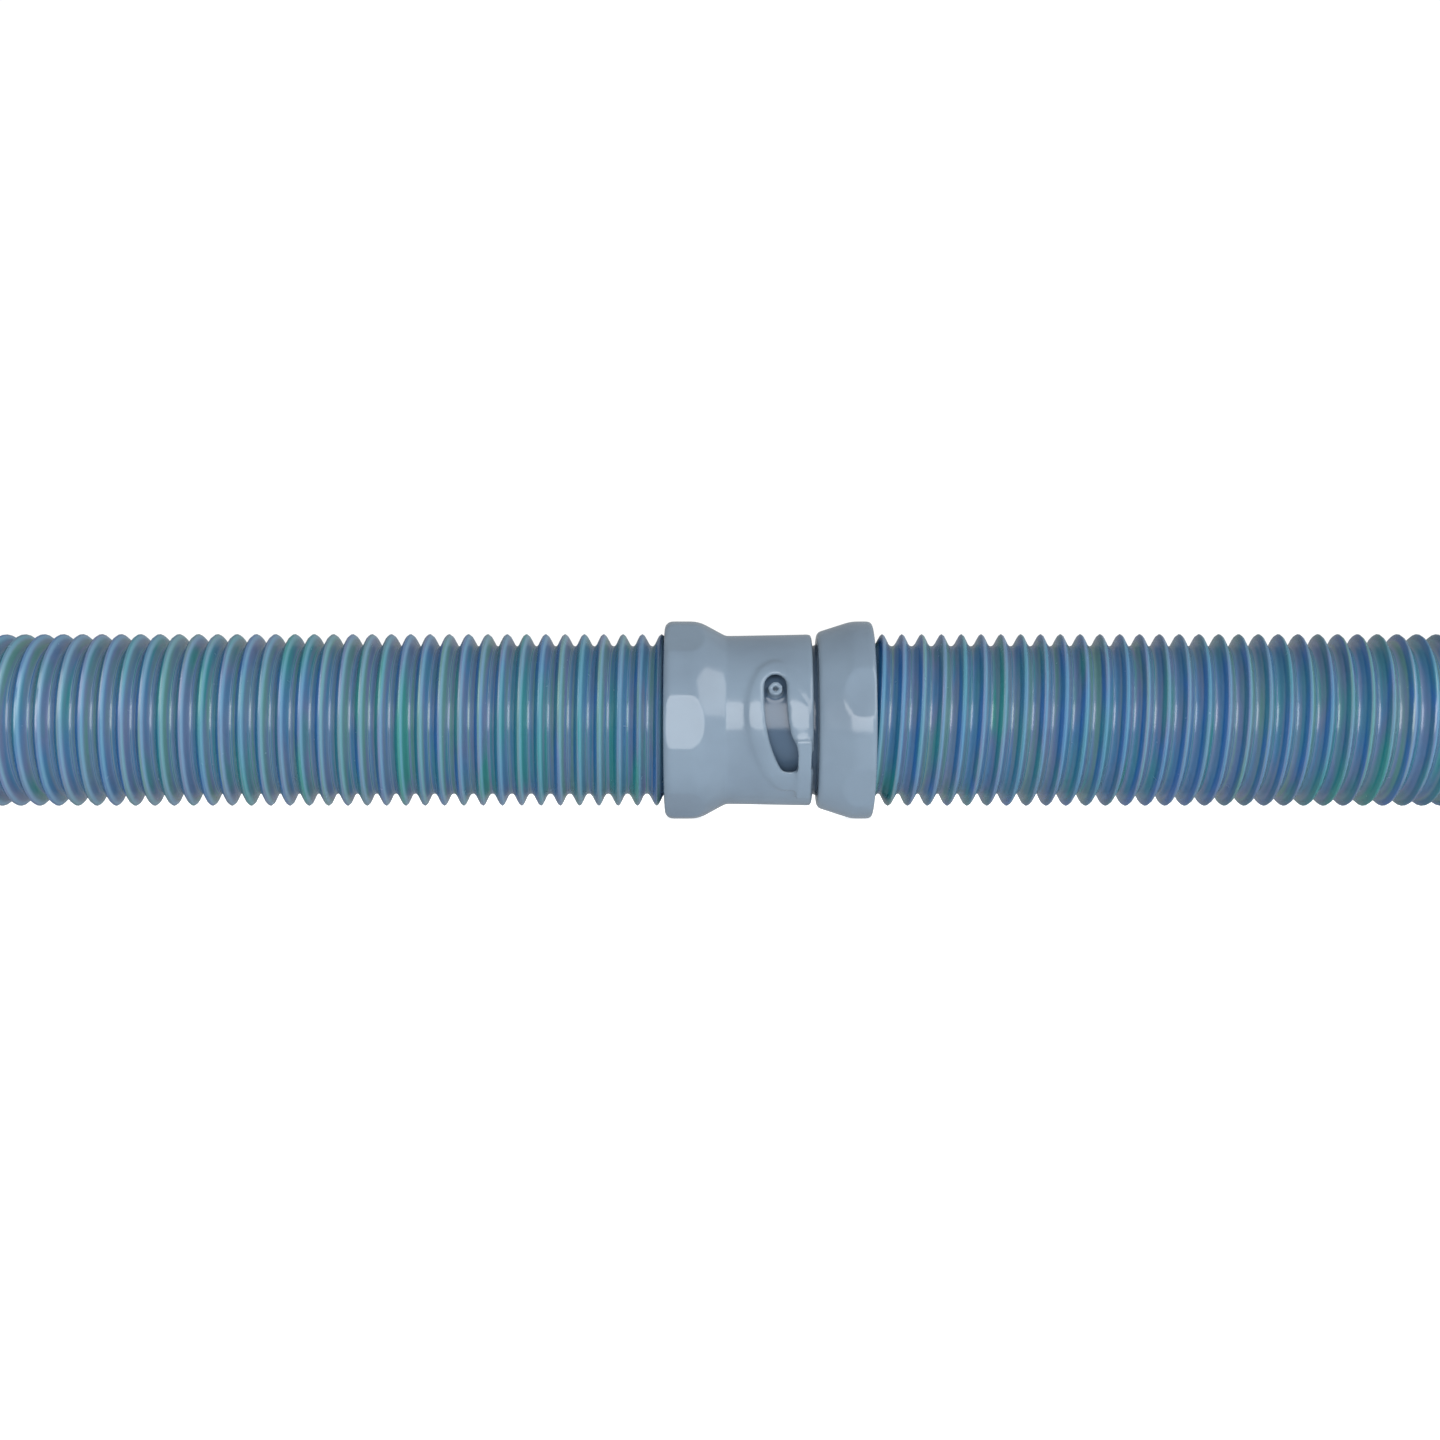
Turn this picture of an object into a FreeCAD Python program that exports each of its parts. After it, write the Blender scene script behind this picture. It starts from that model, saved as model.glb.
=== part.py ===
import FreeCAD, Part
import math
import os
import re
import Sketcher
from FreeCAD import Placement, Rotation, Vector

# Two lengths of corrugated pool-cleaner hose joined by a twist-lock coupling, millimetres.
# +X runs along the coupling towards the right-hand hose, +Z is up, and the origin is on the
# floor under the middle of the coupling. Each fitting is built in a frame of its own, whose
# +X starts at the bell face, where the hose goes in, and points towards its mouth or tip.

doc = FreeCAD.newDocument("vacuum_hose")

DIMENSIONS = [
    ("axis_height", 27.5, "coupling axis above the floor"),
    ("face_to_middle", 28.9, "bell face to the middle of the coupling"),
    ("bell_radius", 27.5, "widest radius of both bells"),
    ("bell_flat_radius", 26.56, "axis to a grip flat"),
    ("flat_half_width", 10.0, "half width of the cut that makes a grip flat"),
    ("flat_length", 17.0, "reach of the grip flats from the bell face"),
    ("pocket_radius", 24.35, "pocket that the hose end sits in"),
    ("neck_radius", 19.9, "neck that the bush's tail passes"),
    ("neck_length", 0.8, "neck along the axis"),
    ("bead_seat_radius", 20.3, "recess that the bush's bead snaps into"),
    ("bore_radius", 17.6, "water way through the fittings"),
    ("lead_in", 0.8, "chamfer at the spigot's tip and the socket's mouth"),
    ("female_length", 40.8, "female fitting, face to rim"),
    ("female_bell_end", 9.5, "where the female bell starts to narrow"),
    ("female_cone_end", 17.0, "where the female bell meets the socket"),
    ("socket_root_radius", 23.45, "outside of the socket beside the bell"),
    ("socket_rim_radius", 23.9, "outside of the socket at the rim"),
    ("socket_radius", 21.0, "bore that takes the spigot"),
    ("female_pocket", 12.5, "depth of the female hose pocket"),
    ("female_seat_end", 14.9, "end of the female bead recess"),
    ("socket_floor", 16.2, "bottom of the socket"),
    ("male_length", 40.9, "male fitting, face to tip"),
    ("male_bell_end", 5.9, "where the male bell starts to narrow"),
    ("male_shoulder", 15.6, "male shoulder that closes on the rim"),
    ("male_shoulder_radius", 24.4, "outside of the male shoulder"),
    ("spigot_radius", 20.75, "outside of the spigot"),
    ("male_pocket", 11.4, "depth of the male hose pocket"),
    ("male_seat_end", 13.8, "end of the male bead recess"),
    ("groove_start", 33.4, "near wall of the seal groove"),
    ("groove_end", 35.8, "far wall of the seal groove"),
    ("groove_radius", 19.18, "bottom of the seal groove"),
    ("lug_place", 27.4, "male bell face to the lugs"),
    ("lug_radius", 2.0, "lug"),
    ("lug_foot", 19.0, "axis to a lug's root, inside the spigot's wall"),
    ("lug_top", 23.6, "axis to a lug's top"),
    ("core_radius", 0.8, "core hole in a lug"),
    ("core_depth", 2.4, "depth of the core hole"),
    ("locked_angle", 21.5, "lug above the horizontal when locked"),
    ("twist_angle", 50.0, "turn from locked to released"),
    ("slot_place", 30.4, "female bell face to the lug when locked"),
    ("slot_rise", 3.6, "cam slot's rise over the twist"),
    ("slot_power", 2.6, "how late the cam slot turns to the rim"),
    ("slot_width", 6.0, "cam slot"),
    ("slot_depth_radius", 22.4, "radius at which the slot's path is drawn"),
    ("slot_mouth", 36.3, "where the slot runs under the bridge"),
    ("slot_corner_drop", 7.4, "slot's upper corner at the bridge, below the axis"),
    ("entry_width", 5.0, "channel under the bridge"),
    ("entry_top", 24.1, "axis to the roof of the channel"),
    ("bridge_radius", 25.3, "outside of the bridge"),
    ("bridge_width", 4.1, "bridge along the axis"),
    ("bridge_start", 13.0, "upper edge of the bridge, degrees below the horizontal"),
    ("bridge_end", 60.0, "lower edge of the bridge, degrees below the horizontal"),
    ("overlap_radius", 22.3, "inside of the raised pieces, within the socket's wall"),
    ("land_radius", 24.5, "raised land round the slot"),
    ("flange_radius", 23.9, "bush flange"),
    ("flange_thickness", 1.5, "bush flange"),
    ("flange_gap", 0.1, "bush flange to the pocket's floor"),
    ("tail_length", 2.2, "bush tail"),
    ("tail_radius", 19.75, "bush tail"),
    ("bead_start", 1.0, "bush flange to its bead"),
    ("bead_radius", 20.15, "bush bead"),
    ("bush_bore_radius", 17.8, "bush bore"),
    ("bush_tube_radius", 19.8, "bush inside the hose"),
    ("bush_tube_length", 9.5, "bush inside the hose"),
    ("ring_half_section", 0.89, "half the seal ring's section"),
    ("ring_radius", 20.07, "seal ring's mean radius"),
    ("hose_radius", 24.0, "outside of the hose"),
    ("hose_bore_radius", 22.5, "inside of the plain tube that stands for the hose"),
]

sheet = doc.addObject("Spreadsheet::Sheet", "Sizes")
for row, (alias, value, meaning) in enumerate(DIMENSIONS, start=1):
    sheet.set(f"A{row}", meaning)
    sheet.set(f"B{row}", str(value))
    sheet.setAlias(f"B{row}", alias)
doc.recompute()

# Corners of each hose's route, chosen by hand: straight out of the coupling, down to the
# floor, round in a wide curve behind it, and up into the far fitting.
LEFT_ROUTE = [
    (-18.0, 0.0, 27.5),
    (-268.0, 0.0, 27.5),
    (-402.3, 94.1, 24.6),
    (-455.4, 248.2, 24.0),
    (-405.3, 402.3, 24.2),
    (-271.8, 495.8, 27.5),
    (-123.8, 495.8, 27.5),
]
RIGHT_ROUTE = [
    (19.1, 0.0, 27.5),
    (250.1, 0.0, 27.5),
    (380.3, 98.1, 24.5),
    (428.5, 255.9, 24.0),
    (377.8, 411.9, 24.3),
    (245.1, 504.8, 27.5),
    (95.1, 504.8, 27.5),
]
ARC_SHARE = 0.45  # share of the shorter run that a corner's arc takes

GRIP_FLATS = 6
FEMALE_FLAT_ANGLE = 32.0
MALE_FLAT_ANGLE = 45.7
RING_MATCH = 0.01  # how near an edge has to lie to count as the ring looked for
TOOL_FRONT = -30.0  # outside the socket, where the tools that shape its front start
TOOL_REACH = 15.0  # far enough to pass the front wall and no further
OVERRUN = 1.0  # how far a cutting tool runs past the face it leaves by

X_AXIS = Vector(1, 0, 0)
Y_AXIS = Vector(0, 1, 0)
Z_AXIS = Vector(0, 0, 1)


def size(text):
    """Value of a sum of the sheet's aliases."""
    return float(sheet.evalExpression(text))


def bound(text):
    """The same sum with each alias written as a cell of the sheet."""
    for alias, _, _ in DIMENSIONS:
        text = re.sub(rf"(?<![\w.]){alias}(?!\w)", f"Sizes.{alias}", text)
    return text


def origin_feature(body, role):
    for feature in body.Origin.OriginFeatures:
        if feature.Role == role:
            return feature
    raise ValueError(role)


def new_sketch(body, name, role):
    sketch = body.newObject("Sketcher::SketchObject", name)
    sketch.AttachmentSupport = [(origin_feature(body, role), "")]
    sketch.MapMode = "FlatFace"
    return sketch


def draw_outline(sketch, corners):
    """Closed outline with both coordinates of each corner bound to the sheet."""
    points = [Vector(size(across), size(up), 0) for across, up in corners]
    count = len(points)
    for index in range(count):
        edge = Part.LineSegment(points[index], points[(index + 1) % count])
        sketch.addGeometry(edge, False)
    for index in range(count):
        following = (index + 1) % count
        sketch.addConstraint(Sketcher.Constraint("Coincident", index, 2, following, 1))
    for index, (across, up) in enumerate(corners):
        for kind, value, text in (
            ("DistanceX", points[index].x, across),
            ("DistanceY", points[index].y, up),
        ):
            constraint = Sketcher.Constraint(kind, -1, 1, index, 1, value)
            number = sketch.addConstraint(constraint)
            sketch.setExpression(f"Constraints[{number}]", bound(text))


def turned_body(name, corners):
    """Body of revolution about X from an outline of (place along X, radius)."""
    body = doc.addObject("PartDesign::Body", name)
    sketch = new_sketch(body, name + "_outline", "XZ_Plane")
    draw_outline(sketch, corners)
    turn = body.newObject("PartDesign::Revolution", name + "_turn")
    turn.Profile = sketch
    turn.ReferenceAxis = (sketch, ["H_Axis"])
    turn.Angle = 360
    doc.recompute()
    return body


def is_ring(edge, along, radius):
    """Whether the edge is a ring about X at that place."""
    middle = edge.valueAt((edge.FirstParameter + edge.LastParameter) / 2)
    return (
        isinstance(edge.Curve, Part.Circle)
        and abs(middle.x - along) < RING_MATCH
        and abs(math.hypot(middle.y, middle.z) - radius) < RING_MATCH
    )


def round_ring(body, along, radius, fillet):
    """Fillet on the ring at that place along X."""
    base = body.Tip
    edges = [
        f"Edge{index}"
        for index, edge in enumerate(base.Shape.Edges, start=1)
        if is_ring(edge, size(along), size(radius))
    ]
    rounding = body.newObject("PartDesign::Fillet", f"{body.Name}_round")
    rounding.Base = (base, edges)
    rounding.Radius = fillet
    doc.recompute()


def cut_grip_flats(body, first_angle):
    """Flats for the fingers round the bell, which run out where it narrows."""
    sketch = new_sketch(body, body.Name + "_flat_outline", "YZ_Plane")
    sketch.AttachmentOffset = Placement(Vector(), Rotation(Z_AXIS, first_angle))
    draw_outline(
        sketch,
        [
            ("-flat_half_width", "bell_flat_radius"),
            ("flat_half_width", "bell_flat_radius"),
            ("flat_half_width", "bell_radius + 1"),
            ("-flat_half_width", "bell_radius + 1"),
        ],
    )
    pocket = body.newObject("PartDesign::Pocket", body.Name + "_flat")
    pocket.Profile = sketch
    pocket.Reversed = True
    pocket.setExpression("Length", bound("flat_length"))
    doc.recompute()
    pattern = body.newObject("PartDesign::PolarPattern", body.Name + "_flats")
    pattern.Originals = [pocket]
    pattern.Axis = (origin_feature(body, "X_Axis"), [""])
    pattern.Angle = 360
    pattern.Occurrences = GRIP_FLATS
    body.Tip = pattern
    doc.recompute()


def rod_about_x(name, radius, start, length, first_angle=0.0, angle="360"):
    """Cylinder about X, or a sector of one that starts at first_angle from +Y."""
    rod = doc.addObject("Part::Cylinder", name)
    rod.setExpression("Radius", bound(radius))
    rod.setExpression("Height", bound(length))
    rod.setExpression("Angle", bound(angle))
    lie_down = Rotation(Y_AXIS, Z_AXIS, X_AXIS, "ZXY")
    rod.Placement.Rotation = Rotation(X_AXIS, first_angle) * lie_down
    rod.setExpression("Placement.Base.x", bound(start))
    return rod


def radial_pin(name, radius, along, foot, top, angle):
    """Pin that stands out from the X axis, at an angle from +Z about X."""
    pin = doc.addObject("Part::Cylinder", name)
    pin.setExpression("Radius", bound(radius))
    pin.setExpression("Height", bound(f"{top} - ({foot})"))
    turn = Rotation(X_AXIS, angle)
    pin.Placement.Rotation = turn
    outward = turn.multVec(Z_AXIS)
    pin.setExpression("Placement.Base.x", bound(along))
    pin.setExpression("Placement.Base.y", bound(f"{outward.y} * ({foot})"))
    pin.setExpression("Placement.Base.z", bound(f"{outward.z} * ({foot})"))
    return pin


def combine(kind, name, **links):
    result = doc.addObject(kind, name)
    for link, value in links.items():
        setattr(result, link, value)
    doc.recompute()
    return result


def plate_on_front(name, wire):
    """Solid from a wire on the plane in front of the socket, reaching through its wall."""
    plate = doc.addObject("Part::Feature", name)
    plate.Shape = Part.Face(wire).extrude(Vector(0, TOOL_REACH, 0))
    return plate


def twin_behind(name, original):
    """The same solid again, half a turn round the axis."""
    twin = doc.addObject("Part::Feature", name)
    twin.Shape = original.Shape
    twin.Placement = Placement(Vector(), Rotation(X_AXIS, 180)).multiply(original.Placement)
    return twin


def slot_centre(turn):
    """Where the lug's middle would run in a slot that follows the cam law exactly."""
    share = max(turn, 0.0) / size("twist_angle")
    along = size("slot_place") + size("slot_rise") * share ** size("slot_power")
    angle = math.radians(size("locked_angle") - turn)
    return Vector(along, TOOL_FRONT, size("slot_depth_radius") * math.sin(angle))


def slot_edge(turn, side):
    """Point of the slot's edge beside that turn, to the left or right of its middle."""
    along = slot_centre(turn + 0.5) - slot_centre(turn - 0.5)
    across = Vector(-along.z, 0, along.x).normalize()
    return slot_centre(turn) + across * (side * size("slot_width") / 2)


def slot_wire():
    """Outline of one cam slot: a round end above, square at the foot under the bridge."""
    left = [slot_edge(turn, -1) for turn in (-3, 8, 20, 30, 39, 47, 55)]
    right = [slot_edge(turn, 1) for turn in (-3, 8, 18, 27, 34)]
    crown = slot_centre(-3) + Vector(0, 0, size("slot_width") / 2)
    crown.x = (left[0].x + right[0].x) / 2
    mouth_top = Vector(size("slot_mouth"), TOOL_FRONT, -size("slot_corner_drop"))
    mouth_foot = Vector(size("slot_mouth"), TOOL_FRONT, left[-1].z)
    left_curve = Part.BSplineCurve()
    left_curve.interpolate(left)
    right_curve = Part.BSplineCurve()
    right_curve.interpolate(right)
    edges = [
        Part.Arc(left[0], crown, right[0]).toShape(),
        right_curve.toShape(),
        Part.makeLine(right[-1], mouth_top),
        Part.makeLine(mouth_top, mouth_foot),
        Part.makeLine(mouth_foot, left[-1]),
        left_curve.toShape(),
    ]
    return Part.Wire(Part.sortEdges(edges)[0])


def land_wire():
    """Outline of the land: a round-cornered top, a slope to the rim, a long left flank."""
    top = [(26.7, 14.6), (29.7, 16.3), (32.3, 16.0), (39.6, 3.8), (39.6, -20.5)]
    flank = [(35.2, -20.5), (28.9, -16.8), (26.1, -12.2), (24.2, -7.5), (23.0, -2.1),
             (22.9, 5.5), (26.7, 14.6)]
    corners = [Vector(along, TOOL_FRONT, height) for along, height in top]
    curve = Part.BSplineCurve()
    curve.interpolate([Vector(along, TOOL_FRONT, height) for along, height in flank])
    edges = [Part.makeLine(start, end) for start, end in zip(corners, corners[1:])]
    edges.append(Part.makeLine(corners[-1], curve.StartPoint))
    edges.append(curve.toShape())
    return Part.Wire(Part.sortEdges(edges)[0])


def raised_piece(name, blank):
    """The part of a blank that lies in the socket's wall and stands out from it."""
    core = rod_about_x(name + "_core", "overlap_radius", "0", "female_length + 5")
    return combine("Part::Cut", name, Base=blank, Tool=core)


def female_fitting(name):
    """Bell for the hose, and a socket with two cam slots, each bridged at the rim."""
    shell = turned_body(
        name + "_shell",
        [
            ("0", "pocket_radius"),
            ("0", "bell_radius"),
            ("female_bell_end", "bell_radius"),
            ("female_cone_end", "socket_root_radius"),
            ("female_length", "socket_rim_radius"),
            ("female_length", "socket_radius + lead_in"),
            ("female_length - lead_in", "socket_radius"),
            ("socket_floor", "socket_radius"),
            ("socket_floor", "bore_radius"),
            ("female_seat_end", "bore_radius"),
            ("female_seat_end", "bead_seat_radius"),
            ("female_pocket + neck_length", "bead_seat_radius"),
            ("female_pocket + neck_length", "neck_radius"),
            ("female_pocket", "neck_radius"),
            ("female_pocket", "pocket_radius"),
        ],
    )
    round_ring(shell, "0", "bell_radius", 2.2)
    round_ring(shell, "female_bell_end", "bell_radius", 9.0)
    round_ring(shell, "female_cone_end", "socket_root_radius", 2.0)
    round_ring(shell, "female_length", "socket_rim_radius", 0.9)
    cut_grip_flats(shell, FEMALE_FLAT_ANGLE)

    outside = rod_about_x(name + "_outside", "land_radius", "0", "female_length")
    plate = plate_on_front(name + "_land_plate", land_wire())
    land_blank = combine("Part::Common", name + "_land_blank", Base=outside, Tool=plate)
    land = raised_piece(name + "_land", land_blank)
    bridge_blank = rod_about_x(
        name + "_bridge_blank",
        "bridge_radius",
        "slot_mouth - 0.1",
        "bridge_width",
        180 + size("bridge_start"),
        "bridge_end - bridge_start",
    )
    bridge = raised_piece(name + "_bridge", bridge_blank)
    land_behind = twin_behind(name + "_land_behind", land)
    bridge_behind = twin_behind(name + "_bridge_behind", bridge)
    body = combine(
        "Part::MultiFuse",
        name + "_body",
        Shapes=[shell, land, land_behind, bridge, bridge_behind],
    )

    slot = plate_on_front(name + "_slot", slot_wire())
    slot_behind = twin_behind(name + "_slot_behind", slot)
    entry = doc.addObject("Part::Box", name + "_entry")
    entry.setExpression("Length", bound(f"female_length - slot_mouth + 2 * {OVERRUN}"))
    entry.setExpression("Width", bound("entry_width"))
    entry.setExpression("Height", bound("entry_top"))
    released = Rotation(X_AXIS, 90 + size("twist_angle") - size("locked_angle"))
    corner = released.multVec(Vector(0, -size("entry_width") / 2, 0))
    entry.Placement = Placement(Vector(size("slot_mouth") - OVERRUN, corner.y, corner.z),
                                released)
    doc.recompute()
    entry_behind = twin_behind(name + "_entry_behind", entry)
    tools = combine(
        "Part::MultiFuse",
        name + "_tools",
        Shapes=[slot, slot_behind, entry, entry_behind],
    )
    return combine("Part::Cut", name, Base=body, Tool=tools)


def male_fitting(name):
    """Bell for the hose, and a spigot with a seal groove and two cored lugs."""
    shell = turned_body(
        name + "_shell",
        [
            ("0", "pocket_radius"),
            ("0", "bell_radius"),
            ("male_bell_end", "bell_radius"),
            ("male_shoulder", "male_shoulder_radius"),
            ("male_shoulder", "spigot_radius"),
            ("groove_start", "spigot_radius"),
            ("groove_start", "groove_radius"),
            ("groove_end", "groove_radius"),
            ("groove_end", "spigot_radius"),
            ("male_length - lead_in", "spigot_radius"),
            ("male_length", "spigot_radius - lead_in"),
            ("male_length", "bore_radius"),
            ("male_seat_end", "bore_radius"),
            ("male_seat_end", "bead_seat_radius"),
            ("male_pocket + neck_length", "bead_seat_radius"),
            ("male_pocket + neck_length", "neck_radius"),
            ("male_pocket", "neck_radius"),
            ("male_pocket", "pocket_radius"),
        ],
    )
    round_ring(shell, "0", "bell_radius", 1.5)
    round_ring(shell, "male_bell_end", "bell_radius", 8.0)
    round_ring(shell, "male_shoulder", "male_shoulder_radius", 1.6)
    cut_grip_flats(shell, MALE_FLAT_ANGLE)

    lugs = []
    for number, angle in enumerate((size("locked_angle") - 90, size("locked_angle") + 90)):
        stem = radial_pin(f"{name}_stem_{number}", "lug_radius", "lug_place", "lug_foot",
                          "lug_top", angle)
        core = radial_pin(f"{name}_core_{number}", "core_radius", "lug_place",
                          "lug_top - core_depth", f"lug_top + {OVERRUN}", angle)
        lugs.append(combine("Part::Cut", f"{name}_lug_{number}", Base=stem, Tool=core))
    return combine("Part::MultiFuse", name, Shapes=[shell] + lugs)


def hose_bush(name):
    """Flanged bush in a hose end; its beaded tail snaps through the fitting's neck."""
    return turned_body(
        name,
        [
            ("-flange_thickness", "bush_tube_radius"),
            ("-flange_thickness", "flange_radius"),
            ("0", "flange_radius"),
            ("0", "tail_radius"),
            ("bead_start", "tail_radius"),
            ("bead_start", "bead_radius"),
            ("tail_length", "tail_radius"),
            ("tail_length", "bush_bore_radius"),
            ("-flange_thickness - bush_tube_length", "bush_bore_radius"),
            ("-flange_thickness - bush_tube_length", "bush_tube_radius"),
        ],
    )


def seal_ring(name):
    """Round-section ring in the spigot's groove."""
    ring = doc.addObject("Part::Torus", name)
    ring.setExpression("Radius1", bound("ring_radius"))
    ring.setExpression("Radius2", bound("ring_half_section"))
    return ring


def route_wire(route, name):
    """Straight runs joined by tangent arcs, each as large as its two runs allow."""
    points = [Vector(*corner) for corner in route]
    edges = []
    radii = []
    start = points[0]
    for before, corner, after in zip(points, points[1:], points[2:]):
        incoming = (corner - before).normalize()
        outgoing = (after - corner).normalize()
        trim = ARC_SHARE * min((corner - before).Length, (after - corner).Length)
        half_turn = incoming.getAngle(outgoing) / 2
        radius = trim / math.tan(half_turn)
        inward = (outgoing - incoming).normalize()
        middle = corner + inward * (radius / math.cos(half_turn) - radius)
        arc_start = corner - incoming * trim
        arc_end = corner + outgoing * trim
        edges.append(Part.LineSegment(start, arc_start).toShape())
        edges.append(Part.Arc(arc_start, middle, arc_end).toShape())
        radii.append(round(radius))
        start = arc_end
    edges.append(Part.LineSegment(start, points[-1]).toShape())
    wire = Part.Wire(edges)
    print(name, "length", round(wire.Length), "arc radii", radii)
    return wire


def swept_rod(wire, radius, start, direction):
    section = Part.Wire(Part.makeCircle(radius, start, direction))
    return wire.makePipeShell([section], True, False)


def hose(name, route):
    """Plain tube along the route, as thick as the corrugated skin is deep on average."""
    wire = route_wire(route, name)
    start = Vector(*route[0])
    direction = Vector(*route[1]) - start
    skin = swept_rod(wire, size("hose_radius"), start, direction)
    bore = swept_rod(wire, size("hose_bore_radius"), start, direction)
    tube = doc.addObject("Part::Feature", name)
    tube.Shape = skin.cut(bore)
    section = math.pi * (size("hose_radius") ** 2 - size("hose_bore_radius") ** 2)
    share = tube.Shape.Volume / (section * wire.Length)
    print(name, "volume over section times length", round(share, 4))
    return tube


def place(piece, label, frame, along=0.0, turn=None):
    """Puts a piece in a fitting's frame, along its axis, and names it."""
    own = Placement(Vector(along, 0, 0), turn or Rotation())
    piece.Placement = frame.multiply(own)
    piece.Label = label
    return piece


def main():
    height = size("axis_height")
    reach = size("face_to_middle")
    female_seat = size("female_pocket - flange_gap")
    male_seat = size("male_pocket - flange_gap")
    female_end = female_seat - size("flange_thickness")
    male_end = male_seat - size("flange_thickness")
    about = Rotation(Z_AXIS, 180)
    left_tip = Vector(*LEFT_ROUTE[-1])
    right_tip = Vector(*RIGHT_ROUTE[-1])

    near_female = Placement(Vector(-reach, 0, height), Rotation())
    near_male = Placement(Vector(reach, 0, height), about)
    far_male = Placement(left_tip - Vector(male_end, 0, 0), Rotation())
    far_female = Placement(right_tip + Vector(female_end, 0, 0), about)

    ring_place = size("(groove_start + groove_end) / 2")
    stand_up = Rotation(Y_AXIS, 90)
    pieces = [
        place(female_fitting("near_female"), "female_fitting", near_female),
        place(male_fitting("near_male"), "male_fitting", near_male),
        place(seal_ring("near_ring"), "seal_ring", near_male, ring_place, stand_up),
        place(hose_bush("left_near"), "left_hose_bush", near_female, female_seat),
        place(hose_bush("right_near"), "right_hose_bush", near_male, male_seat),
        place(male_fitting("far_male"), "far_male_fitting", far_male),
        place(seal_ring("far_ring"), "far_seal_ring", far_male, ring_place, stand_up),
        place(hose_bush("left_far"), "far_male_bush", far_male, male_seat),
        place(female_fitting("far_female"), "far_female_fitting", far_female),
        place(hose_bush("right_far"), "far_female_bush", far_female, female_seat),
    ]
    for name, route in (("left_hose", LEFT_ROUTE), ("right_hose", RIGHT_ROUTE)):
        pieces.append(hose(name, route))
    doc.recompute()

    for item in doc.Objects:
        if "Invalid" in item.State or "Error" in item.State:
            raise RuntimeError(f"{item.Name} failed: {item.State}")
    os.makedirs("parts", exist_ok=True)
    for piece in pieces:
        shape = piece.Shape
        if shape.isNull() or not shape.isValid() or len(shape.Solids) != 1:
            raise RuntimeError(f"{piece.Label} is not one valid solid")
        print(piece.Label, "volume", round(shape.Volume))
        shape.exportStep(f"parts/{piece.Label}.step")


main()
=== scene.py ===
import math

import bmesh
import bpy
import numpy as np
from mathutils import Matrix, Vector


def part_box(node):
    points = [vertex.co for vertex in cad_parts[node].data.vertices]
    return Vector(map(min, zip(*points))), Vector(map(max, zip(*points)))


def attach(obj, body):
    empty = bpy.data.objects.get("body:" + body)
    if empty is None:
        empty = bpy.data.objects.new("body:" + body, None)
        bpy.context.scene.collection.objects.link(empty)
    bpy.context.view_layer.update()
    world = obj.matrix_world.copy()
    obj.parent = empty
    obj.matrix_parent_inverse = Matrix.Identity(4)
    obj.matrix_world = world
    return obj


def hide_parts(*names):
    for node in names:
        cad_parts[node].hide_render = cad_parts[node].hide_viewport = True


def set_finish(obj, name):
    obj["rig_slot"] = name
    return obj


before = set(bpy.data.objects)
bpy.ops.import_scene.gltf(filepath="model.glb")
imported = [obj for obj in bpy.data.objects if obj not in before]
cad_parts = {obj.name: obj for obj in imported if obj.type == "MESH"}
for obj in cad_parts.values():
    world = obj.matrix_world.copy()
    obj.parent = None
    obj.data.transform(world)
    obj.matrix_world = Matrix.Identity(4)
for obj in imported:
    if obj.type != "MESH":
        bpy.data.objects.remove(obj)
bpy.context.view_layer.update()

# Two corrugated pool-cleaner hoses joined by a twist-lock coupling, in metres.

MM = 0.001
AXIS_HEIGHT = 0.0275

# The hose routes of part.py, with one more point on each long straight run, near the corner
# where the hose starts to turn back.
LEFT_ROUTE = [
    (-0.0180, 0.0, 0.0275),
    (-0.1040, 0.0, 0.0275),
    (-0.2680, 0.0, 0.0275),
    (-0.4023, 0.0941, 0.0246),
    (-0.4554, 0.2482, 0.0240),
    (-0.4053, 0.4023, 0.0242),
    (-0.2718, 0.4958, 0.0275),
    (-0.1238, 0.4958, 0.0275),
]
RIGHT_ROUTE = [
    (0.0191, 0.0, 0.0275),
    (0.0871, 0.0, 0.0275),
    (0.2501, 0.0, 0.0275),
    (0.3803, 0.0981, 0.0245),
    (0.4285, 0.2559, 0.0240),
    (0.3778, 0.4119, 0.0243),
    (0.2451, 0.5048, 0.0275),
    (0.0951, 0.5048, 0.0275),
]

# One turn of the corrugation: place along the pitch, and radius in millimetres.
RIB = [
    (0.00, 20.6),
    (0.09, 20.75),
    (0.18, 21.35),
    (0.28, 22.45),
    (0.39, 23.55),
    (0.50, 24.0),
    (0.61, 23.55),
    (0.72, 22.45),
    (0.82, 21.35),
    (0.91, 20.75),
]
BORE_RADIUS = 0.0202
AROUND = 44  # faces round the hose
BORE_AROUND = 32
BORE_STEP = 0.008
SPARE_TURNS = 6  # half of them before the hose's start, and cut off with the rest
RIB_LEAN = 0.027  # how far the ribs lean back from the coupling, as a share of height

# The fittings.
CUFF_VOXEL = 0.00046
SOFTEN_ROUNDS = 6
SHARP_EDGE = math.radians(32)
SPIGOT_EDGE = 0.0213  # a male cuff's spigot is painted dark inside this radius, as painted shade in the gap between the cuffs
GAP_SHADE_FADE = 0.0003
SOCKET_FACE = -0.0289  # bell faces, along X
FAR_SOCKET_FACE = 0.1060
LAND_RADII = (0.0229, 0.02485)
LAND_DEPTHS = (0.0195, 0.0392)  # from the bell's face
EASE_ROUNDS = 30

FLOOR_GLOW = 0.75


# ---------------------------------------------------------------- shader maths


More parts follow.
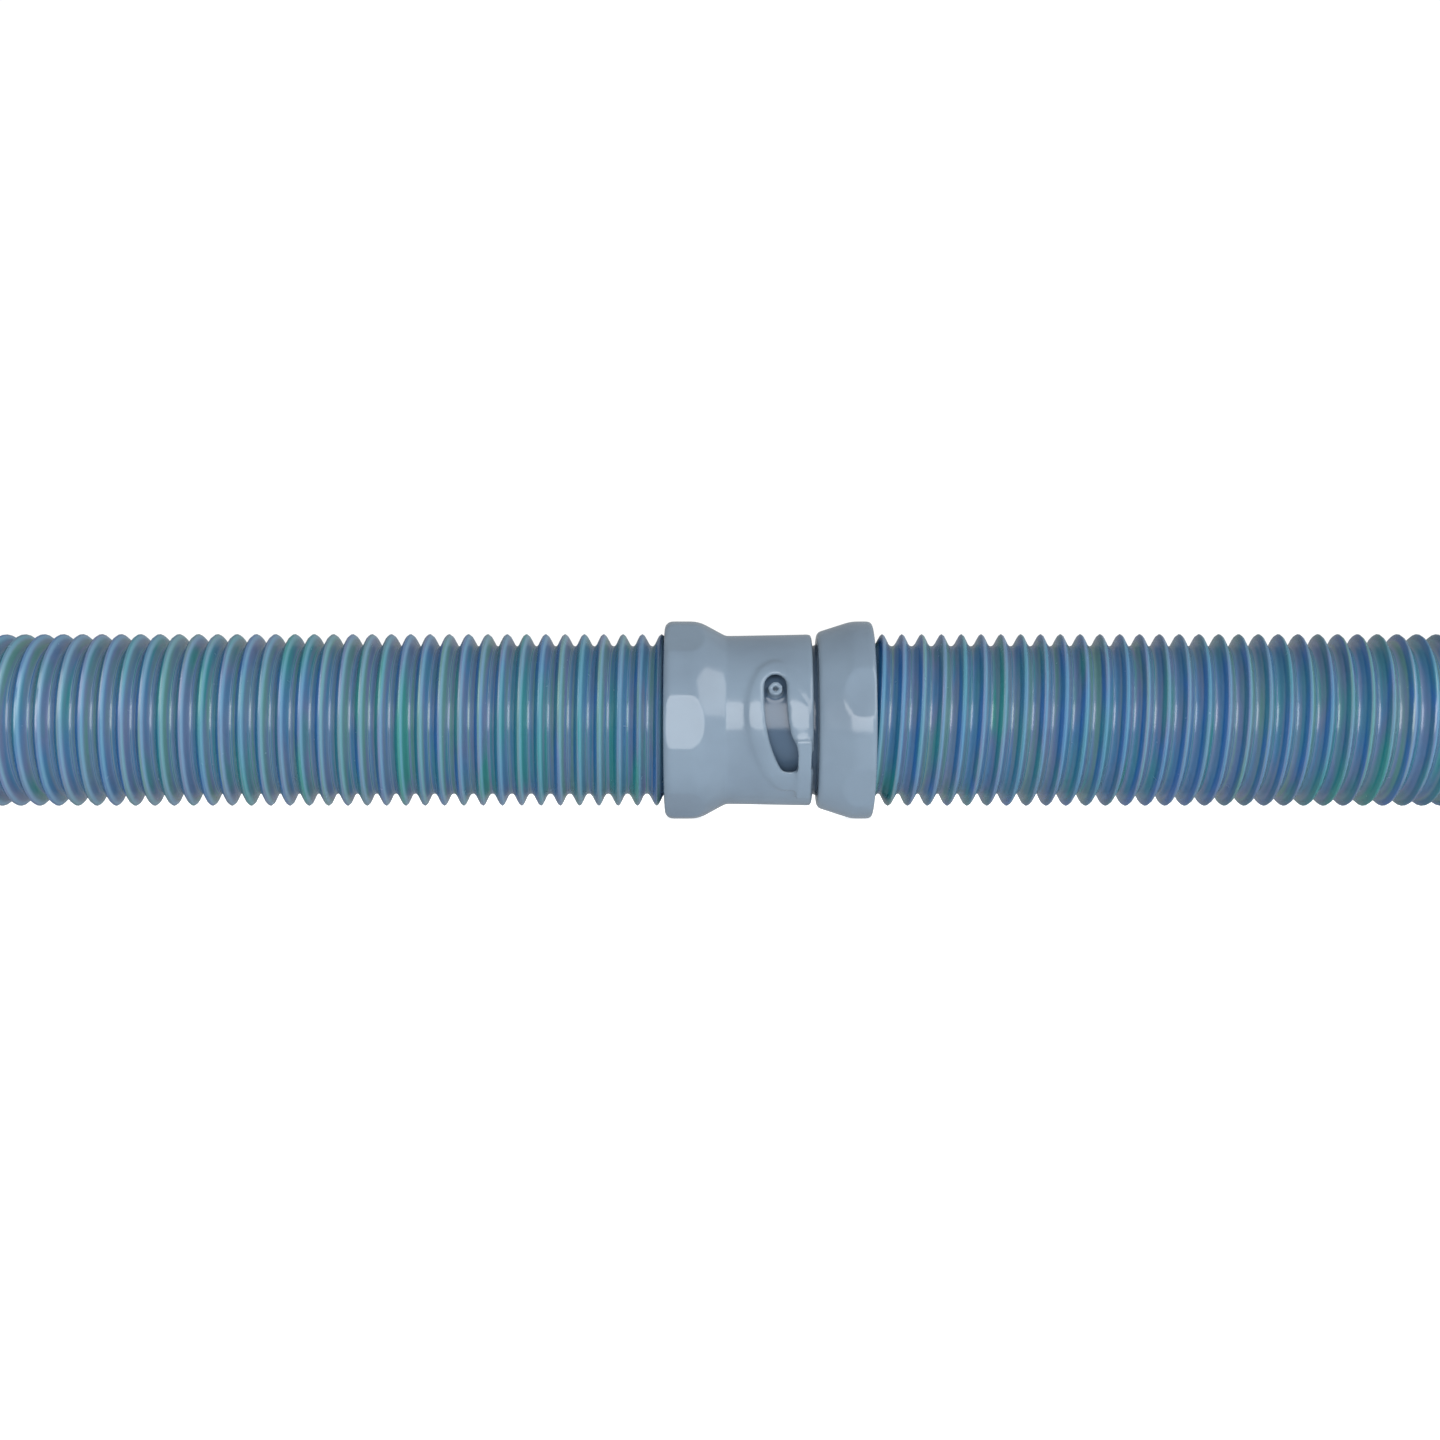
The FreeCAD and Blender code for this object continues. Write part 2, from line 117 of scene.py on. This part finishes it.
class Signal:
    """A node's output, so that shader maths reads as a plain sum."""

    def __init__(self, finish, socket):
        self.finish = finish
        self.socket = socket

    def maths(self, operation, first, second):
        return self.finish.add("ShaderNodeMath", {"operation": operation}, {0: first, 1: second})

    def __add__(self, other):
        return self.maths("ADD", self, other)

    def __radd__(self, other):
        return self.maths("ADD", other, self)

    def __sub__(self, other):
        return self.maths("SUBTRACT", self, other)

    def __rsub__(self, other):
        return self.maths("SUBTRACT", other, self)

    def __mul__(self, other):
        return self.maths("MULTIPLY", self, other)

    def __rmul__(self, other):
        return self.maths("MULTIPLY", other, self)


class Finish:
    """A material under construction: a Principled surface and the nodes that feed it."""

    def __init__(self, name):
        self.material = bpy.data.materials.new(name)
        self.material.use_nodes = True
        self.tree = self.material.node_tree
        self.shader = self.tree.nodes["Principled BSDF"]

    def add(self, kind, settings=None, sockets=None, output=0):
        """Any node, from its type, its settings and the values or links of its sockets."""
        node = self.tree.nodes.new(kind)
        for name, value in (settings or {}).items():
            if name == "stops":
                self.set_stops(node.color_ramp, value)
            else:
                setattr(node, name, value)
        for name, value in (sockets or {}).items():
            self.feed(node.inputs[name], value)
        return Signal(self, node.outputs[output])

    def set_stops(self, ramp, stops):
        while len(ramp.elements) < len(stops):
            ramp.elements.new(1.0)
        for element, (place, colour) in zip(ramp.elements, stops):
            element.position = place
            element.color = (*colour, 1.0)

    def feed(self, socket, value):
        if isinstance(value, Signal):
            self.tree.links.new(value.socket, socket)
        else:
            socket.default_value = value

    def surface(self, **values):
        """Values or links of the Principled surface, named with _ for a space."""
        for name, value in values.items():
            self.feed(self.shader.inputs[name.replace("_", " ")], value)

    def place(self):
        return self.add("ShaderNodeTexCoord", output="Object")

    def attribute(self, name):
        return self.add("ShaderNodeAttribute", {"attribute_name": name}, output="Fac")

    def noise(self, vector, scale, detail=3.0, roughness=0.5):
        return self.add(
            "ShaderNodeTexNoise",
            None,
            {"Vector": vector, "Scale": scale, "Detail": detail, "Roughness": roughness},
        )

    def ramp(self, value, stops):
        return self.add("ShaderNodeValToRGB", {"stops": stops}, {0: value})

    def band(self, value, low, high):
        """0 below low, 1 above high, and a smooth step between."""
        return self.add(
            "ShaderNodeMapRange",
            {"interpolation_type": "SMOOTHSTEP"},
            {"Value": value, "From Min": low, "From Max": high},
        )

    def mix(self, share, first, second):
        return self.add(
            "ShaderNodeMix",
            {"data_type": "RGBA"},
            {0: share, 6: first, 7: second},
            output=2,
        )

    def bump(self, height, strength, distance):
        return self.add(
            "ShaderNodeBump", None, {"Height": height, "Strength": strength, "Distance": distance}
        )


def rgb(red, green, blue):
    """Linear colour from the three numbers 0 to 255 that a paint chart gives."""
    return tuple(
        v / 12.92 if v <= 0.04045 else ((v + 0.055) / 1.055) ** 2.4
        for v in (red / 255, green / 255, blue / 255)
    )


def rgba(red, green, blue):
    return (*rgb(red, green, blue), 1.0)


# ---------------------------------------------------------------- camera

camera_data = bpy.data.cameras.new("studio_camera")
camera_data.lens = 61.8
camera_data.sensor_width = 36.0
camera_data.clip_start = 0.01
camera_data.clip_end = 50.0
camera = bpy.data.objects.new("studio_camera", camera_data)
camera.location = (-0.0135, -0.69, AXIS_HEIGHT)
camera.rotation_euler = (math.radians(90), 0, 0)
bpy.context.scene.collection.objects.link(camera)
bpy.context.scene.camera = camera
bpy.context.scene.view_settings.view_transform = "Standard"


# ---------------------------------------------------------------- hoses


def deselect_all():
    bpy.ops.object.select_all(action="DESELECT")


def take_hold(piece):
    """Makes the piece the only selected one, and the active one."""
    deselect_all()
    piece.select_set(True)
    bpy.context.view_layer.objects.active = piece


def spline_points(name, corners):
    """Points along the smooth line that the route's points control."""
    curve = bpy.data.curves.new(name, "CURVE")
    curve.dimensions = "3D"
    curve.resolution_u = 40
    spline = curve.splines.new("NURBS")
    spline.points.add(len(corners) - 1)
    for point, corner in zip(spline.points, corners):
        point.co = (*corner, 1.0)
    spline.order_u = 3
    spline.use_endpoint_u = True
    line = bpy.data.objects.new(name, curve)
    bpy.context.scene.collection.objects.link(line)
    mesh = bpy.data.meshes.new_from_object(line)
    points = np.array([vertex.co for vertex in mesh.vertices], float)
    bpy.data.objects.remove(line)
    bpy.data.meshes.remove(mesh)
    return points


def along_line(points):
    """Distance of each point from the start of the line."""
    steps = np.linalg.norm(np.diff(points, axis=0), axis=1)
    return np.concatenate([[0.0], np.cumsum(steps)])


def straight_skin(pitch, offset, length):
    """Corrugated skin about X, one strip of faces wound round and round, past both ends."""
    rows_per_turn = len(RIB)
    turns = int(length / pitch) + SPARE_TURNS
    rows = turns * rows_per_turn
    row = np.arange(rows)
    along = np.array([place for place, _ in RIB])[row % rows_per_turn]
    radius = np.array([r for _, r in RIB])[row % rows_per_turn] * MM
    turn = row // rows_per_turn - SPARE_TURNS // 2
    angle = np.arange(AROUND) * (2 * math.pi / AROUND)
    share = angle / (2 * math.pi)
    x = offset + pitch * ((turn + along)[:, None] + share[None, :])
    y = radius[:, None] * np.cos(angle)[None, :]
    z = radius[:, None] * np.sin(angle)[None, :]
    x = x + RIB_LEAN * z
    points = np.stack([x, y, z], axis=2).reshape(-1, 3)
    wound = (turn[:, None] + share[None, :]).ravel()
    phase = np.repeat(along, AROUND)
    faces = []
    for r in range(rows - rows_per_turn - 1):
        for i in range(AROUND):
            near = r * AROUND + i
            ahead = near + 1 if i < AROUND - 1 else (r + rows_per_turn) * AROUND
            faces.append((near, near + AROUND, ahead + AROUND, ahead))
    return points, faces, wound, phase


def add_bore(work, length):
    """Smooth inner wall, and a rim that joins it to the skin at each end."""
    rings = max(2, int(length / BORE_STEP))
    grid = []
    for step in range(rings + 1):
        x = length * step / rings
        ring = []
        for i in range(BORE_AROUND):
            angle = 2 * math.pi * i / BORE_AROUND
            ring.append(
                work.verts.new((x, BORE_RADIUS * math.cos(angle), BORE_RADIUS * math.sin(angle)))
            )
        grid.append(ring)
    for near, ahead in zip(grid, grid[1:]):
        for i in range(BORE_AROUND):
            j = (i + 1) % BORE_AROUND
            work.faces.new((near[i], near[j], ahead[j], ahead[i]))
    for x in (0.0, length):
        open_edges = [
            edge
            for edge in work.edges
            if edge.is_boundary and all(abs(vertex.co.x - x) < 1e-6 for vertex in edge.verts)
        ]
        bmesh.ops.bridge_loops(work, edges=open_edges)


def lay_along(mesh, points):
    """Moves a mesh made about the X axis on to the line."""
    distance = along_line(points)
    tangent = np.gradient(points, distance, axis=0)
    tangent /= np.linalg.norm(tangent, axis=1)[:, None]
    count = len(mesh.vertices)
    flat = np.zeros(count * 3)
    mesh.vertices.foreach_get("co", flat)
    local = flat.reshape(-1, 3)
    x = local[:, 0]

    def sample(values):
        return np.stack([np.interp(x, distance, values[:, k]) for k in range(3)], axis=1)

    middle = sample(points)
    forward = sample(tangent)
    # beyond the two ends the line goes straight on
    over = np.clip(x - distance[-1], 0, None) + np.clip(x, None, 0)
    middle += over[:, None] * forward
    forward /= np.linalg.norm(forward, axis=1)[:, None]
    side = np.cross(forward, np.array([0.0, 0.0, 1.0]))
    side /= np.linalg.norm(side, axis=1)[:, None]
    above = np.cross(side, forward)
    laid = middle + local[:, 1:2] * side + local[:, 2:3] * above
    mesh.vertices.foreach_set("co", laid.ravel())
    mesh.flip_normals()  # these axes mirror the mesh, which turns its faces inside out
    mesh.update()


def corrugated_hose(name, corners, pitch, offset, forward):
    """The hose's skin and bore along its route, and the line that it follows."""
    points = spline_points(name + "_line", corners)
    length = float(along_line(points)[-1])
    grid, faces, wound, phase = straight_skin(pitch, offset, length)
    # the phase is turned round on this hose so that the painted shade and painted highlight fall
    # on the same side, in the world, on both hoses
    if not forward:
        phase = (1.0 - phase) % 1.0
    mesh = bpy.data.meshes.new(name)
    mesh.from_pydata(grid.tolist(), [], faces)
    for label, values in (("wound", wound), ("rib_phase", phase)):
        layer = mesh.attributes.new(label, "FLOAT", "POINT")
        layer.data.foreach_set("value", values.astype(np.float32))
    work = bmesh.new()
    work.from_mesh(mesh)
    for x, normal in ((0.0, -1.0), (length, 1.0)):
        bmesh.ops.bisect_plane(
            work,
            geom=work.verts[:] + work.edges[:] + work.faces[:],
            plane_co=(x, 0, 0),
            plane_no=(normal, 0, 0),
            clear_outer=True,
        )
    add_bore(work, length)
    bmesh.ops.recalc_face_normals(work, faces=work.faces[:])
    work.to_mesh(mesh)
    work.free()
    lay_along(mesh, points)
    hose = bpy.data.objects.new(name, mesh)
    bpy.context.scene.collection.objects.link(hose)
    take_hold(hose)
    bpy.ops.object.shade_smooth_by_angle(angle=math.radians(70))
    return hose, points, length


left_hose, left_line, left_length = corrugated_hose(
    "left_corrugated_hose", LEFT_ROUTE, 0.00538, -0.0037, forward=False
)
right_hose, right_line, right_length = corrugated_hose(
    "right_corrugated_hose", RIGHT_ROUTE, 0.00552, -0.0032, forward=True
)


# ---------------------------------------------------------------- fittings


def moulding(node, name, voxel):
    """A moulded piece from a CAD node's shape, its edges softened as a mould leaves them."""
    piece = bpy.data.objects.new(name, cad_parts[node].data.copy())
    bpy.context.scene.collection.objects.link(piece)
    piece.data.materials.clear()
    take_hold(piece)
    bpy.ops.object.mode_set(mode="EDIT")
    bpy.ops.mesh.select_all(action="SELECT")
    bpy.ops.mesh.remove_doubles(threshold=1e-6)
    bpy.ops.object.mode_set(mode="OBJECT")
    if voxel:
        remesh = piece.modifiers.new("remesh", "REMESH")
        remesh.mode = "VOXEL"
        remesh.voxel_size = voxel
        bpy.ops.object.modifier_apply(modifier=remesh.name)
        smooth = piece.modifiers.new("soften", "SMOOTH")
        smooth.factor = 0.5
        smooth.iterations = SOFTEN_ROUNDS
        bpy.ops.object.modifier_apply(modifier=smooth.name)
        bpy.ops.object.shade_smooth()
    else:
        bpy.ops.object.shade_smooth_by_angle(angle=SHARP_EDGE)
    return piece


def around_axis(piece, node):
    """The points of a fitting's mesh, and their distance from the fitting's axis."""
    low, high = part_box(node)
    flat = np.zeros(len(piece.data.vertices) * 3)
    piece.data.vertices.foreach_get("co", flat)
    points = flat.reshape(-1, 3)
    y, z = (low.y + high.y) / 2, (low.z + high.z) / 2
    return points, np.hypot(points[:, 1] - y, points[:, 2] - z)


def ease_lands(piece, node, face, towards):
    """Blends the raised lands round the cam slots into the socket, as a mould leaves them."""
    points, radius = around_axis(piece, node)
    depth = (points[:, 0] - face) * towards
    near = (radius > LAND_RADII[0]) & (radius < LAND_RADII[1])
    near &= (depth > LAND_DEPTHS[0]) & (depth < LAND_DEPTHS[1])
    group = piece.vertex_groups.new(name="lands")
    group.add([int(i) for i in np.nonzero(near)[0]], 1.0, "REPLACE")
    take_hold(piece)
    smooth = piece.modifiers.new("ease", "SMOOTH")
    smooth.factor = 0.5
    smooth.iterations = EASE_ROUNDS
    smooth.vertex_group = group.name
    bpy.ops.object.modifier_apply(modifier=smooth.name)
    piece.vertex_groups.clear()


def mark_spigot(piece, node):
    """Marks the spigot of a male cuff for painted shade, which darkens it where it shows in the
    gap between the cuffs.
    """
    _, radius = around_axis(piece, node)
    # painted shade: full darkening inside the spigot radius, fading out over a short distance
    greased = np.clip((SPIGOT_EDGE - radius) / GAP_SHADE_FADE, 0.0, 1.0)
    layer = piece.data.attributes.new("greased", "FLOAT", "POINT")
    layer.data.foreach_set("value", greased.astype(np.float32))


PIECES = [
    # CAD node, piece, body, material slot, voxel
    ("female_fitting", "socket_cuff", "socket_section", "fitting_grey", CUFF_VOXEL),
    ("male_fitting", "spigot_cuff", "lock_collar", "fitting_grey", CUFF_VOXEL),
    ("far_male_fitting", "far_spigot_cuff", "far_lock_collar", "fitting_grey", CUFF_VOXEL),
    ("far_female_fitting", "far_socket_cuff", "spigot_section", "fitting_grey", CUFF_VOXEL),
    ("seal_ring", "spigot_seal", "lock_collar", "seal_rubber", None),
    ("far_seal_ring", "far_spigot_seal", "far_lock_collar", "seal_rubber", None),
    ("left_hose_bush", "left_end_bush", "socket_section", "bush_plastic", None),
    ("right_hose_bush", "right_end_bush", "spigot_section", "bush_plastic", None),
    ("far_male_bush", "left_far_bush", "socket_section", "bush_plastic", None),
    ("far_female_bush", "right_far_bush", "spigot_section", "bush_plastic", None),
]

made = {}
for node, name, body, slot_name, voxel in PIECES:
    piece = moulding(node, name, voxel)
    if "spigot_cuff" in name:
        mark_spigot(piece, node)
    if name == "socket_cuff":
        ease_lands(piece, node, SOCKET_FACE, 1.0)
    if name == "far_socket_cuff":
        ease_lands(piece, node, FAR_SOCKET_FACE, -1.0)
    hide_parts(node)
    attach(piece, body)
    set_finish(piece, slot_name)
    made[name] = piece

for hose, body, node in (
    (left_hose, "socket_section", "left_hose"),
    (right_hose, "spigot_section", "right_hose"),
):
    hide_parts(node)
    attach(hose, body)
    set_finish(hose, "hose_blue")


# ---------------------------------------------------------------- finishes


def fitting_plastic():
    """Grey-blue moulded ABS, smooth, with a faint flow mottle and painted shade on the spigot in
    the gap between the cuffs.
    """
    finish = Finish("grey_blue_moulded_plastic")
    place = finish.place()
    mottle = finish.noise(place, 55.0, 3.0)
    colour = finish.mix(
        finish.band(mottle, 0.3, 0.7), rgba(101, 115, 129), rgba(107, 122, 136)
    )
    gap_darkening = finish.attribute("greased")
    # painted shade: the spigot turns deep blue-grey where the gap between the cuffs lies in shade
    colour = finish.mix(gap_darkening * 0.72, colour, rgba(44, 66, 90))
    grain = finish.noise(place, 2600.0, 2.0)
    finish.surface(
        Base_Color=colour,
        Roughness=0.13 + 0.06 * mottle,
        Normal=finish.bump(grain, 0.05, 0.0001),
    )
    finish.surface(Specular_IOR_Level=0.4, IOR=1.5)
    return finish.material


def hose_plastic():
    """Pearly blue film over the ribs, with wandering tints, a painted shade line on one flank of
    each crest and a painted highlight on the other.
    """
    finish = Finish("pearly_blue_hose_plastic")
    place = finish.place()
    wound = finish.attribute("wound")
    phase = finish.attribute("rib_phase")
    ribbon = finish.add("ShaderNodeCombineXYZ", None, {0: wound * 2.3, 1: phase * 0.6})
    hue = finish.noise(ribbon, 1.0, 2.0, 0.6)
    veil = finish.noise(
        finish.add("ShaderNodeCombineXYZ", None, {0: wound * 1.7, 1: phase * 2.2, 2: 5.0}),
        1.0,
        2.0,
        0.6,
    )
    film = finish.ramp(
        hue,
        [
            (0.34, rgb(44, 112, 116)),
            (0.43, rgb(58, 106, 128)),
            (0.50, rgb(60, 100, 136)),
            (0.57, rgb(78, 98, 130)),
            (0.66, rgb(46, 114, 112)),
        ],
    )
    pearl = finish.ramp(
        veil,
        [(0.38, rgb(72, 114, 126)), (0.52, rgb(96, 102, 134)), (0.64, rgb(78, 116, 112))],
    )
    # painted shade: dark saturated colours for the crest flank that falls in shade
    line = finish.ramp(
        hue,
        [
            (0.34, rgb(4, 88, 94)),
            (0.43, rgb(8, 74, 106)),
            (0.50, rgb(8, 66, 122)),
            (0.57, rgb(16, 68, 98)),
            (0.66, rgb(6, 92, 96)),
        ],
    )
    # painted highlight: pale colours for the lit flank of each crest
    painted_highlight_colour = finish.mix(hue, rgba(104, 158, 166), rgba(112, 148, 184))
    colour = finish.mix(finish.band(veil, 0.42, 0.62) * 0.8, film, pearl)
    # painted highlight: the lit flank of each crest, opposite the painted shade
    painted_highlight_flank = finish.band(phase, 0.54, 0.62) * (1.0 - finish.band(phase, 0.64, 0.74))
    # painted shade: the shaded flank of each crest
    painted_shade_flank = finish.band(phase, 0.25, 0.33) * (1.0 - finish.band(phase, 0.43, 0.51))
    colour = finish.mix(painted_highlight_flank * 0.4, colour, painted_highlight_colour)
    colour = finish.mix(painted_shade_flank * 0.9, colour, line)
    scuff = finish.noise(place, 400.0, 3.0)
    finish.surface(Base_Color=colour, Roughness=0.20 + 0.10 * scuff)
    finish.surface(Specular_IOR_Level=0.7, IOR=1.5)
    return finish.material


def plain_rubber():
    finish = Finish("black_seal_rubber")
    bloom = finish.noise(finish.place(), 300.0, 3.0)
    finish.surface(
        Base_Color=finish.mix(bloom, rgba(28, 29, 31), rgba(46, 47, 50)),
        Roughness=0.45 + 0.2 * bloom,
    )
    return finish.material


def bush_plastic():
    finish = Finish("white_bush_plastic")
    place = finish.place()
    mottle = finish.noise(place, 90.0, 3.0)
    finish.surface(
        Base_Color=finish.mix(mottle, rgba(176, 182, 188), rgba(198, 203, 208)),
        Roughness=0.45 + 0.1 * mottle,
        Normal=finish.bump(finish.noise(place, 1800.0, 2.0), 0.06, 0.0001),
    )
    return finish.material


finishes = {
    "fitting_grey": fitting_plastic(),
    "hose_blue": hose_plastic(),
    "seal_rubber": plain_rubber(),
    "bush_plastic": bush_plastic(),
}
for piece in [left_hose, right_hose, *made.values()]:
    piece.data.materials.clear()
    piece.data.materials.append(finishes[piece["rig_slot"]])


# ---------------------------------------------------------------- studio


def studio_floor():
    """Broad white floor that glows a little, as a light table does, so that shadows stay faint."""
    deselect_all()
    bpy.ops.mesh.primitive_plane_add(size=16.0, location=(0, 0, 0))
    floor = bpy.context.object
    floor.name = "studio_floor"
    white = Finish("studio_white")
    white.surface(Base_Color=rgba(246, 247, 248), Roughness=0.9, Specular_IOR_Level=0.0)
    white.surface(Emission_Color=(1, 1, 1, 1), Emission_Strength=FLOOR_GLOW)
    floor.data.materials.append(white.material)
    floor.visible_glossy = False
    return floor


def soft_panel(name, place, towards, width, height, power):
    data = bpy.data.lights.new(name, "AREA")
    data.shape = "RECTANGLE"
    data.size = width
    data.size_y = height
    data.energy = power
    panel = bpy.data.objects.new(name, data)
    panel.location = place
    direction = Vector(towards) - Vector(place)
    panel.rotation_euler = direction.to_track_quat("-Z", "Y").to_euler()
    bpy.context.scene.collection.objects.link(panel)
    return panel


def backdrop():
    """White surround that only the camera sees, well outside the studio."""
    deselect_all()
    bpy.ops.mesh.primitive_uv_sphere_add(segments=48, ring_count=24, radius=12.0)
    dome = bpy.context.object
    dome.name = "studio_backdrop"
    glow = Finish("backdrop_white")
    glow.surface(Base_Color=(0, 0, 0, 1), Specular_IOR_Level=0.0)
    glow.surface(Emission_Color=(1, 1, 1, 1), Emission_Strength=1.05)
    dome.data.materials.append(glow.material)
    for kind in ("diffuse", "glossy", "transmission", "volume_scatter", "shadow"):
        setattr(dome, "visible_" + kind, False)
    return dome


studio_floor()
backdrop()
soft_panel("front_panel", (0, -1.6, 0.22), (0, 0, 0.22), 1.8, 1.12, 34.0)
soft_panel("right_panel", (1.5, -0.9, 0.9), (0, 0, 0.03), 1.6, 1.6, 26.0)
back_panel = soft_panel("back_panel", (-0.6, 2.2, 1.1), (0, 0.3, 0.02), 2.4, 1.2, 24.0)
back_panel.visible_glossy = False  # its mirror image would hide the parts' upper outline

world = bpy.data.worlds.new("studio_world")
world.use_nodes = True
fill = world.node_tree.nodes["Background"]
fill.inputs["Color"].default_value = (0.92, 0.97, 1.0, 1)
fill.inputs["Strength"].default_value = 0.42
bpy.context.scene.world = world
